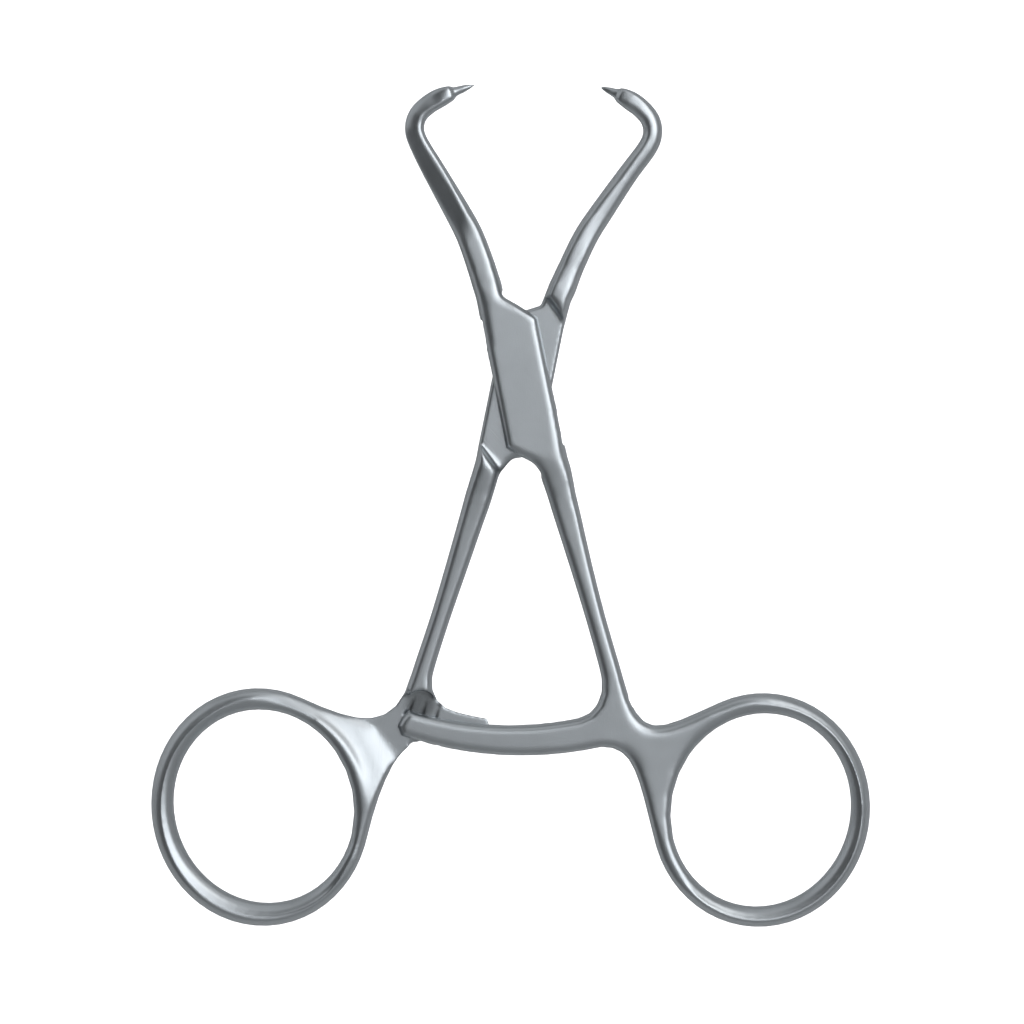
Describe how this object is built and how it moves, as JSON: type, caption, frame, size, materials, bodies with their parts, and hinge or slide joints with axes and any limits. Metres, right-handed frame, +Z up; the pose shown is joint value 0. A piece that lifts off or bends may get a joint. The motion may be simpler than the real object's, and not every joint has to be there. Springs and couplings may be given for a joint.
{
  "type": "bone reduction forceps",
  "caption": "Steel bone reduction forceps with bowed jaws ending in ground points, a box lock, a side ratchet between the shanks and oval finger rings.",
  "frame": {"origin": "on the pin axis, at the back face of the box lock", "axes": "+Z up out of the front face of the lock, along the pin; +Y towards the jaws' points; +X to the side of the ring whose half carries the slotted lock and the long ratchet bar"},
  "size_m": [0.1049, 0.123, 0.0052],
  "materials": {
    "satin_steel": "satin",
    "satin_steel_male": "satin",
    "pin_steel": "satin"
  },
  "bodies": {
    "female": {"female_half": "satin_steel", "joint_pin": "pin_steel"},
    "male": {"male_half": "satin_steel_male"}
  },
  "joints": [
    {"name": "box_lock", "type": "hinge", "parent": "female", "child": "male", "pos_m": [0, 0, 0], "axis": [0, 0, 1], "range_deg": [-35, 22.8]}
  ]
}
